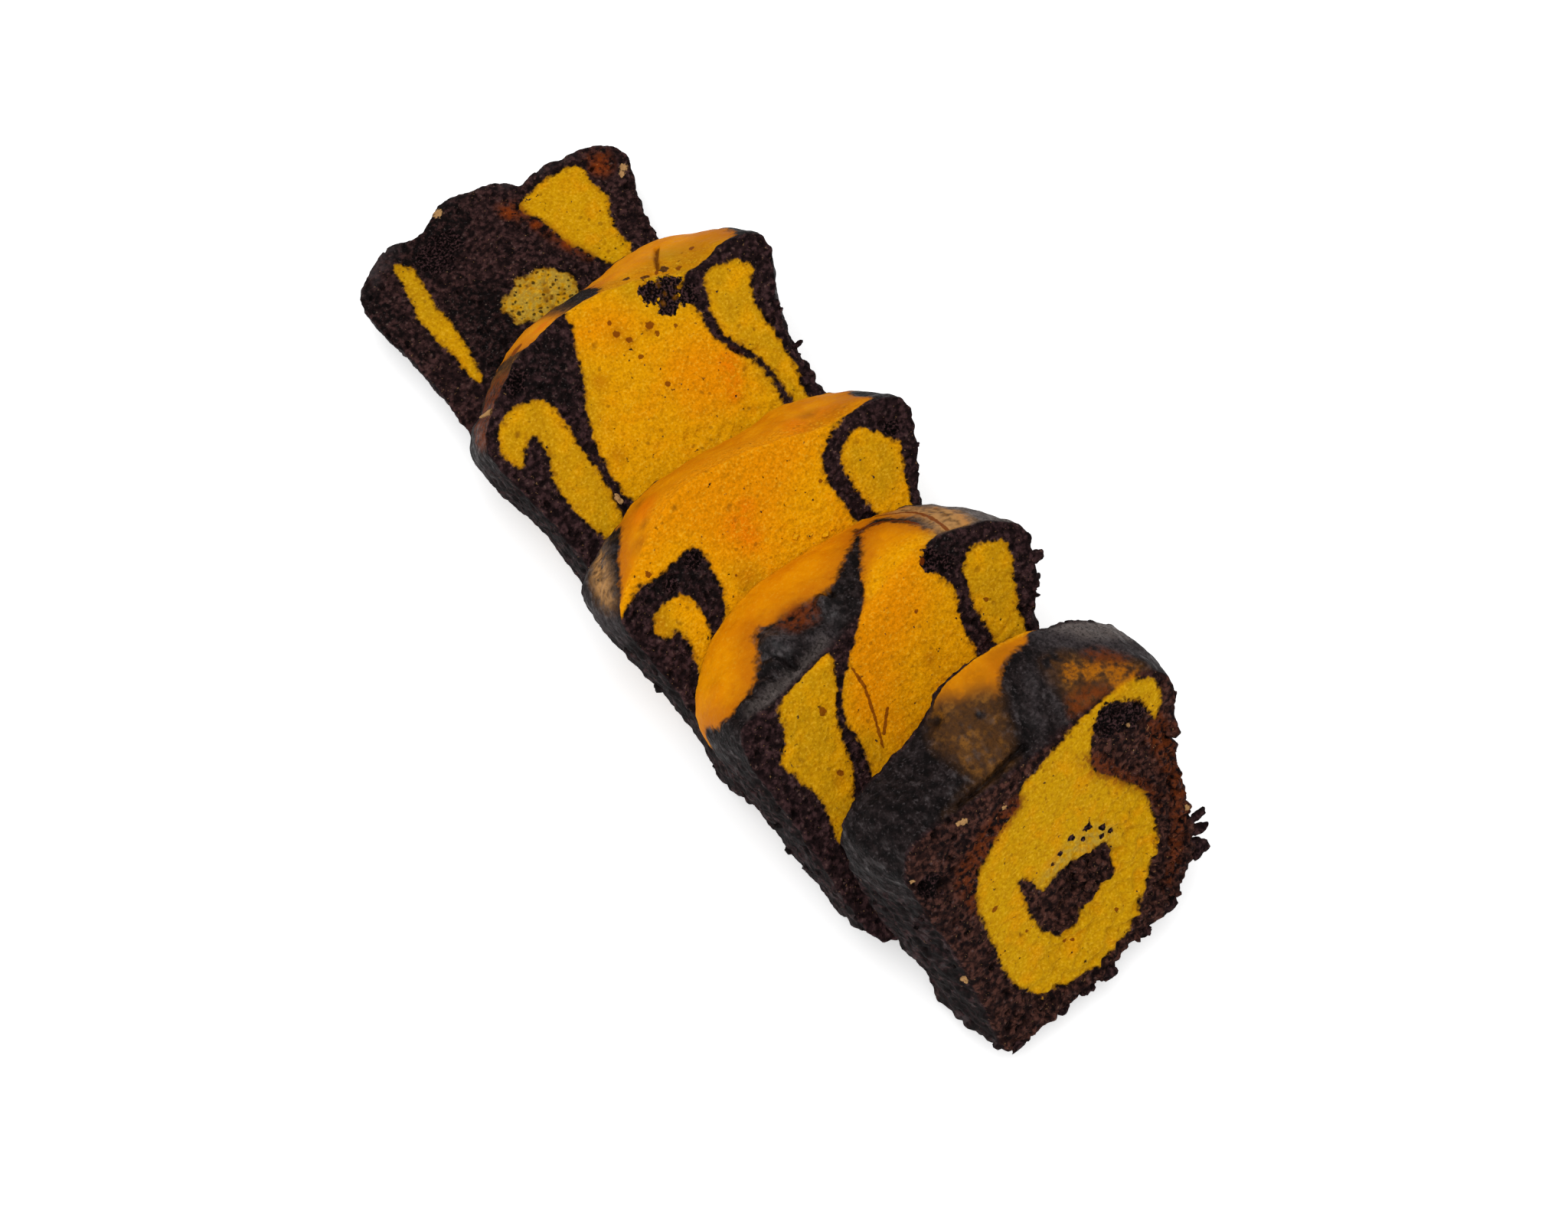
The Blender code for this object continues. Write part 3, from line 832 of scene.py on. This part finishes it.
class Finish:
    """A material and the nodes that it is built from."""

    def __init__(self, name):
        self.material = bpy.data.materials.new(name)
        self.material.use_nodes = True
        self.tree = self.material.node_tree
        self.shader = self.tree.nodes["Principled BSDF"]
        self.place = self.add("ShaderNodeTexCoord").outputs["Object"]

    def add(self, kind, settings=None, sockets=None):
        """One node: its settings first, then the values and links of its sockets."""
        node = self.tree.nodes.new(kind)
        for name, value in (settings or {}).items():
            setattr(node, name, value)
        for name, value in (sockets or {}).items():
            self.feed(node.inputs[name], value)
        return node

    def feed(self, socket, value):
        """Gives a socket a number, a link or a plain value."""
        if isinstance(value, Value):
            value = value.socket
        if isinstance(value, bpy.types.NodeSocket):
            self.tree.links.new(value, socket)
        else:
            socket.default_value = value

    def mask(self, name):
        """A number that the mesh keeps."""
        return Value(self, self.add("ShaderNodeAttribute", {"attribute_name": name}).outputs["Fac"])

    def lumps(self, size, detail=2.0, place=None):
        """Unevenness between 0 and 1, mostly near 0.5, with lumps of that size."""
        sockets = {"Vector": place or self.place, "Scale": 1.0 / size, "Detail": detail}
        return Value(self, self.add("ShaderNodeTexNoise", sockets=sockets).outputs["Fac"])

    def cells(self, size, place=None):
        """Distance from the middle of the nearest cell, in cells, and that cell's own number."""
        made = self.add("ShaderNodeTexVoronoi", sockets={"Vector": place or self.place, "Scale": 1.0 / size})
        number = self.add("ShaderNodeSeparateColor", sockets={0: made.outputs["Color"]}).outputs[0]
        return Value(self, made.outputs["Distance"]), Value(self, number)

    def warped(self, size, reach):
        """The place, bent by soft unevenness of that size."""
        sockets = {"Vector": self.place, "Scale": 1.0 / size, "Detail": 1.0}
        made = self.add("ShaderNodeTexNoise", sockets=sockets).outputs["Color"]
        centred = self.vector("SUBTRACT", {0: made, 1: (0.5, 0.5, 0.5)})
        moved = self.vector("SCALE", {0: centred, "Scale": reach})
        return self.vector("ADD", {0: self.place, 1: moved})

    def vector(self, operation, sockets):
        """One step of vector maths."""
        return self.add("ShaderNodeVectorMath", {"operation": operation}, sockets).outputs[0]

    def mix(self, share, first, second):
        """Colour between two others."""
        return self.add("ShaderNodeMix", {"data_type": "RGBA"}, {0: share, 6: first, 7: second}).outputs[2]

    def layered(self, colour, *layers):
        """A colour with others laid over it in turn, each given as (share, colour)."""
        for share, over in layers:
            colour = self.mix(share, colour, over)
        return colour


GOLDEN = tone(200, 150, 8)
GOLDEN_RICH = tone(232, 157, 0)
GOLDEN_WARM = tone(231, 138, 0)
GOLDEN_SHADE = tone(160, 102, 2)
GOLDEN_PALE = tone(240, 188, 50)
DEEP_ORANGE = tone(228, 112, 0)
OLIVE = tone(186, 142, 12)
OLIVE_PALE = tone(168, 140, 56)
BROWN_PORE = tone(126, 76, 8)
BROWN_STAIN = tone(176, 102, 4)
COCOA = tone(66, 44, 45)
COCOA_BROWN = tone(88, 54, 44)
COCOA_LIGHT = tone(98, 74, 70)
COCOA_SHADE = tone(20, 12, 13)
RUST = tone(112, 50, 15)
RUST_BRIGHT = tone(134, 56, 14)
SPOT_BROWN = tone(112, 48, 6)
GRAIN_PALE = tone(180, 138, 90)
ORANGE_CRUST = tone(223, 139, 0)
ORANGE_SHADE = tone(205, 113, 0)
ORANGE_EDGE = tone(172, 90, 10)
TAN_CRUST = tone(86, 54, 24)
TAN_LIGHT = tone(126, 82, 32)
TAN_SHADE = tone(62, 41, 26)
CHAR = tone(15, 12, 12)
CHAR_LIGHT = tone(40, 31, 31)
CHAR_SHEEN = tone(76, 69, 70)
# Grey of the crust, partly its own colour and partly painted reflection and sheen
GREY_SKIN_AND_SHEEN = tone(68, 61, 62)
# Pale grey of the crust, partly scuffed and partly painted sheen
PALE_SKIN_AND_SHEEN = tone(102, 92, 88)
PALE_TAN = tone(182, 134, 80)
PIT = tone(8, 5, 5)


def crumb_colours(finish, grain, coarse, cloud, knob, number):
    """Golden crumb and cocoa crumb, each with its grain and stains, its pores painted dark as shade, and a
    mottle that is partly its own tone and partly painted shade and highlight on its relief.
    """
    porous = finish.mask("porous")
    speckled = finish.cells(1.7 * MM, finish.warped(1.6 * MM, 1.2 * MM))
    pores = speckled[0].step(0.42, 0.2) * (speckled[1] < porous * 0.75 + 0.04)
    golden = finish.layered(
        GOLDEN,
        (finish.mask("rich"), GOLDEN_RICH),
        (finish.mask("warm") * 0.85, GOLDEN_WARM),
        (cloud.step(0.48, 0.72) * 0.35, GOLDEN_WARM),
        (finish.mask("olive") * cloud.step(0.2, 0.65) * 0.75, OLIVE),
        (finish.mask("pale") * coarse.step(0.3, 0.6) * 0.85, OLIVE_PALE),
        (finish.mask("blush") * coarse.step(0.1, 0.6) * 0.65, DEEP_ORANGE),
        (finish.mask("stain") * coarse.step(0.2, 0.55) * 0.6, BROWN_STAIN),
        # Darker where the crumb's relief is low and lighter where its grains stand up: partly its own mottled
        # tone, partly painted shade and painted highlight.
        (knob.step(0.4, 0.7) * 0.16, GOLDEN_SHADE),
        (coarse.step(0.5, 0.3) * 0.3, GOLDEN_SHADE),
        (grain.step(0.52, 0.3) * 0.45, GOLDEN_SHADE),
        (grain.step(0.54, 0.72) * 0.42, GOLDEN_PALE),
        # Pores painted dark: painted shade in small holes of the crumb.
        (pores * (porous * 0.35 + 0.5), finish.mix(porous, BROWN_PORE, PIT)),
        (finish.mask("rust") * coarse.step(0.35, 0.6) * 0.8, RUST),
    )

    clotted = finish.lumps(3.2 * MM, detail=2.0)
    cocoa = finish.layered(
        COCOA,
        (finish.mask("rich").step(0.3, 0.0) * 0.8, COCOA_BROWN),
        # Darker in low places, soft clots and the crevices between knobs, lighter on the tops of some knobs:
        # partly its own mottled tone, partly painted shade and painted highlight.
        (coarse.step(0.62, 0.34), COCOA_SHADE),
        (clotted.step(0.52, 0.36) * 0.6, COCOA_SHADE),
        (knob.step(0.34, 0.1) * number.step(0.3, 1.0) * 0.7, COCOA_LIGHT),
        (knob.step(0.44, 0.7) * 0.7, COCOA_SHADE),
        (finish.mask("rust") * coarse.step(0.36, 0.62) * 0.7, RUST),
        (finish.mask("blush") * coarse.step(0.2, 0.6) * 0.75, RUST_BRIGHT),
        (finish.mask("grey") * clotted.step(0.3, 0.6) * 0.7, GREY_SKIN_AND_SHEEN),
        (grain.step(0.68, 0.74) * (porous * 0.5 + 0.35), GRAIN_PALE),
        # Charred crumb goes nearly black with painted glints; the same mask holds a painted shadow on the
        # rear slice.
        (finish.mask("charred") * coarse.step(0.75, 0.35) * 0.85, CHAR),
        (finish.mask("charred") * grain.step(0.6, 0.72) * 0.5, CHAR_SHEEN),
        (finish.mask("side") * clotted.step(0.64, 0.44) * 0.85, CHAR),
        (finish.mask("side") * clotted.step(0.6, 0.7) * 0.5, CHAR_SHEEN),
    )
    return golden, cocoa


def crust_colours(finish, golden, edge, grain, coarse, cloud, streaks):
    """Orange crust, its tan patches, grey and pale patches that are partly the crust's own colour and partly
    painted reflection and sheen, and the dark crust that is nearly black, with painted sheen and glints.
    """
    orange = finish.layered(
        ORANGE_CRUST,
        (cloud.step(0.42, 0.66) * 0.5, ORANGE_SHADE),
        (coarse.step(0.52, 0.3) * 0.25, ORANGE_SHADE),
        (grain.step(0.52, 0.74) * 0.2, GOLDEN_PALE),
        (finish.mask("blush") * 0.6, DEEP_ORANGE),
        (finish.mask("olive") * 0.8, OLIVE),
        (edge.step(3.0, 0.0) * 0.6, ORANGE_EDGE),
        (finish.mask("stain") * coarse.step(0.1, 0.6) * 0.85, BROWN_STAIN),
    )
    toasted = finish.mask("blush") * 0.8 + (coarse - 0.5) * 1.2 + (cloud - 0.5)
    brown = finish.layered(
        TAN_SHADE,
        (coarse.step(0.2, 0.75), TAN_CRUST),
        (cloud.step(0.46, 0.62) * coarse.step(0.25, 0.7) * 0.8, TAN_LIGHT),
        (toasted.step(0.45, 1.0) * 0.75, BROWN_STAIN),
        (grain.step(0.5, 0.36) * 0.45, TAN_SHADE),
        (finish.mask("pale") * (coarse + cloud).step(0.6, 1.2), PALE_TAN),
    )
    dark = finish.layered(
        CHAR,
        (streaks.step(0.34, 0.7), CHAR_LIGHT),
        (streaks.step(0.56, 0.72) * cloud.step(0.44, 0.62) * 0.5, CHAR_SHEEN),
        (grain.step(0.54, 0.68) * coarse.step(0.4, 0.6) * 0.55, CHAR_SHEEN),
        (finish.mask("charred") * coarse.step(0.7, 0.35) * 0.85, CHAR),
        (finish.mask("charred") * streaks.step(0.5, 0.62) * 0.6, CHAR_SHEEN),
        # Grey and pale patches: partly the crust's own grey, partly painted reflection and sheen
        (finish.mask("grey") * coarse.step(0.1, 0.8), GREY_SKIN_AND_SHEEN),
        (finish.mask("pale") * streaks.step(-0.1, 0.7), PALE_SKIN_AND_SHEEN),
        (grain.step(0.5, 0.36) * 0.6, CHAR),
    )
    return finish.layered(
        dark,
        (golden, orange),
        (finish.mask("tan") * cloud.step(0.26, 0.4), brown),
        (finish.mask("rust") * coarse.step(0.3, 0.6) * 0.8, RUST),
    )


def marble_finish():
    """Golden and cocoa crumb on the cuts, orange, tan and dark crust round them."""
    finish = Finish("marble_cake")
    place_on_slice = finish.add("ShaderNodeAttribute", {"attribute_name": "skin_place"}).outputs["Vector"]
    stretched = finish.vector("MULTIPLY", {0: place_on_slice, 1: (1.0, 0.6, 1.0)})
    grain = finish.lumps(0.7 * MM, detail=2.0)
    coarse = finish.lumps(1.5 * MM, detail=3.0)
    cloud = finish.lumps(6.0 * MM)
    streaks = finish.lumps(1.9, detail=4.0, place=stretched)
    knob, number = finish.cells(1.6 * MM, finish.warped(1.2 * MM, 1.0 * MM))
    skin = (finish.mask("crust") - finish.mask("rugged")) * (1.0 - finish.mask("torn") * 0.85)
    hollow = finish.mask("hollow")

    edge = finish.mask("gold") + (finish.lumps(3.0 * MM) - 0.5) * 2.2 + (coarse - 0.5) * 2.0
    edge = edge * (1.0 - skin * 0.6)
    golden = edge.step(-0.45, 0.45)
    dull = 1.0 - golden

    light_crumb, cocoa = crumb_colours(finish, grain, coarse, cloud, knob, number)
    light_crumb = finish.mix(edge.step(1.3, 0.2) * 0.45, light_crumb, BROWN_PORE)
    cut = finish.mix(golden, cocoa, light_crumb)
    torn = finish.mask("ragged") + (coarse - 0.5) * 1.6 + (knob - 0.3) * 0.5
    # Torn crumb is painted as cocoa crumb with near-black pits: painted shade in its hollows.
    cut = finish.mix(torn.step(0.42, 0.6), cut, finish.mix(grain.step(0.45, 0.65), PIT, COCOA))
    cut = finish.mix((finish.mask("speck") + (grain - 0.5) * 1.4).step(0.35, 0.7), cut, GRAIN_PALE)
    baked = crust_colours(finish, golden, edge, grain, coarse, cloud, streaks)
    colour = finish.mix(skin, cut, baked)
    spots = finish.mask("mark") + (coarse - 0.5) * 1.4
    colour = finish.mix(spots.step(0.4, 0.62) * 0.85, colour, SPOT_BROWN)
    # Holes, grooves and the mesh's pores are painted dark: painted shade in the hollows.
    colour = finish.mix(hollow * 0.85, colour, finish.mix(golden, PIT, BROWN_PORE))
    finish.feed(finish.shader.inputs["Base Color"], colour)

    finish.feed(finish.shader.inputs["Roughness"], 0.9 - skin * 0.25 + (coarse - 0.5) * 0.3)
    glossy = streaks.step(0.5, 0.7) * 0.18 + finish.mask("charred") * 0.2 + 0.02
    finish.feed(finish.shader.inputs["Coat Weight"], skin * dull * glossy + finish.mask("side") * 0.03)
    finish.shader.inputs["Coat Roughness"].default_value = 0.3
    finish.shader.inputs["Specular IOR Level"].default_value = 0.03

    crumbly = (grain - 0.5) * (0.17 + dull * 0.1) + (coarse - 0.5) * (0.4 + dull * 0.75)
    crumbly = crumbly - knob * (0.12 + dull * 0.7)
    height = (1.0 - skin * (0.65 - dull * 0.25)) * crumbly
    height = height + skin * dull * (streaks - 0.5) * 1.2 + skin * (cloud - 0.5) * 0.6
    bump = finish.add("ShaderNodeBump", sockets={"Strength": 1.0, "Distance": MM, "Height": height})
    finish.feed(finish.shader.inputs["Normal"], bump.outputs["Normal"])
    return finish.material


def floor_finish():
    """Plain pale table top, a little bright of itself."""
    finish = Finish("pale_table")
    finish.shader.inputs["Base Color"].default_value = (0.93, 0.93, 0.93, 1.0)
    finish.shader.inputs["Roughness"].default_value = 0.9
    finish.shader.inputs["Specular IOR Level"].default_value = 0.1
    finish.shader.inputs["Emission Color"].default_value = (1.0, 1.0, 1.0, 1.0)
    finish.shader.inputs["Emission Strength"].default_value = TABLE_GLOW
    return finish.material


# Floor, light and camera

def lay_floor():
    """A wide pale table top under the cake."""
    mesh = bpy.data.meshes.new("table_top")
    corners = [(TABLE_REACH * x, TABLE_REACH * y, 0.0) for x, y in ((-1, -1), (1, -1), (1, 1), (-1, 1))]
    mesh.from_pydata(corners, [], [(0, 1, 2, 3)])
    mesh.materials.append(floor_finish())
    floor = show("table_top", mesh)


def light_studio():
    """A soft sky and one square panel that faces the cake."""
    sky = bpy.data.worlds.new("soft_studio")
    sky.use_nodes = True
    sky.node_tree.nodes["Background"].inputs["Color"].default_value = (1.0, 1.0, 1.0, 1.0)
    sky.node_tree.nodes["Background"].inputs["Strength"].default_value = SKY_STRENGTH
    bpy.context.scene.world = sky
    light = bpy.data.lights.new("overhead_panel", "AREA")
    light.size = PANEL_SIZE
    light.energy = PANEL_POWER
    panel = show("overhead_panel", light)
    panel.location = PANEL_PLACE
    facing = Vector(CAKE_MIDDLE) - Vector(PANEL_PLACE)
    panel.rotation_euler = facing.to_track_quat("-Z", "Y").to_euler()
    bpy.context.scene.view_settings.view_transform = "Standard"


def set_camera():
    """The photograph's viewing angle."""
    forward = Vector(CAMERA_FORWARD).normalized()
    up = Vector(CAMERA_RIGHT).cross(forward).normalized()
    right = forward.cross(up)
    lens = bpy.data.cameras.new("camera")
    lens.lens = CAMERA_LENS
    camera = show("camera", lens)
    turned = Matrix((right, up, -forward)).transposed().to_4x4()
    camera.matrix_world = Matrix.Translation(CAMERA_PLACE) @ turned
    bpy.context.scene.camera = camera


def dress_cake():
    """Dresses every slice, gives each piece the cake's finish and its body, and hides the slice's solid."""
    cake = marble_finish()
    scatter = crumb_tree(cake)
    for seed, node in enumerate(STANDS):
        piece = dress_slice(node)
        piece.data.materials.append(cake)
        extras = [cling_crumbs(piece, scatter, seed)]
        if node in CLUMPS:
            clumps = knead_clumps(node)
            clumps.data.materials.append(cake)
            extras.append(clumps)
        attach(piece, "root")
        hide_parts(node)
        for extra in extras:
            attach(extra, "root")


set_camera()
light_studio()
lay_floor()
dress_cake()
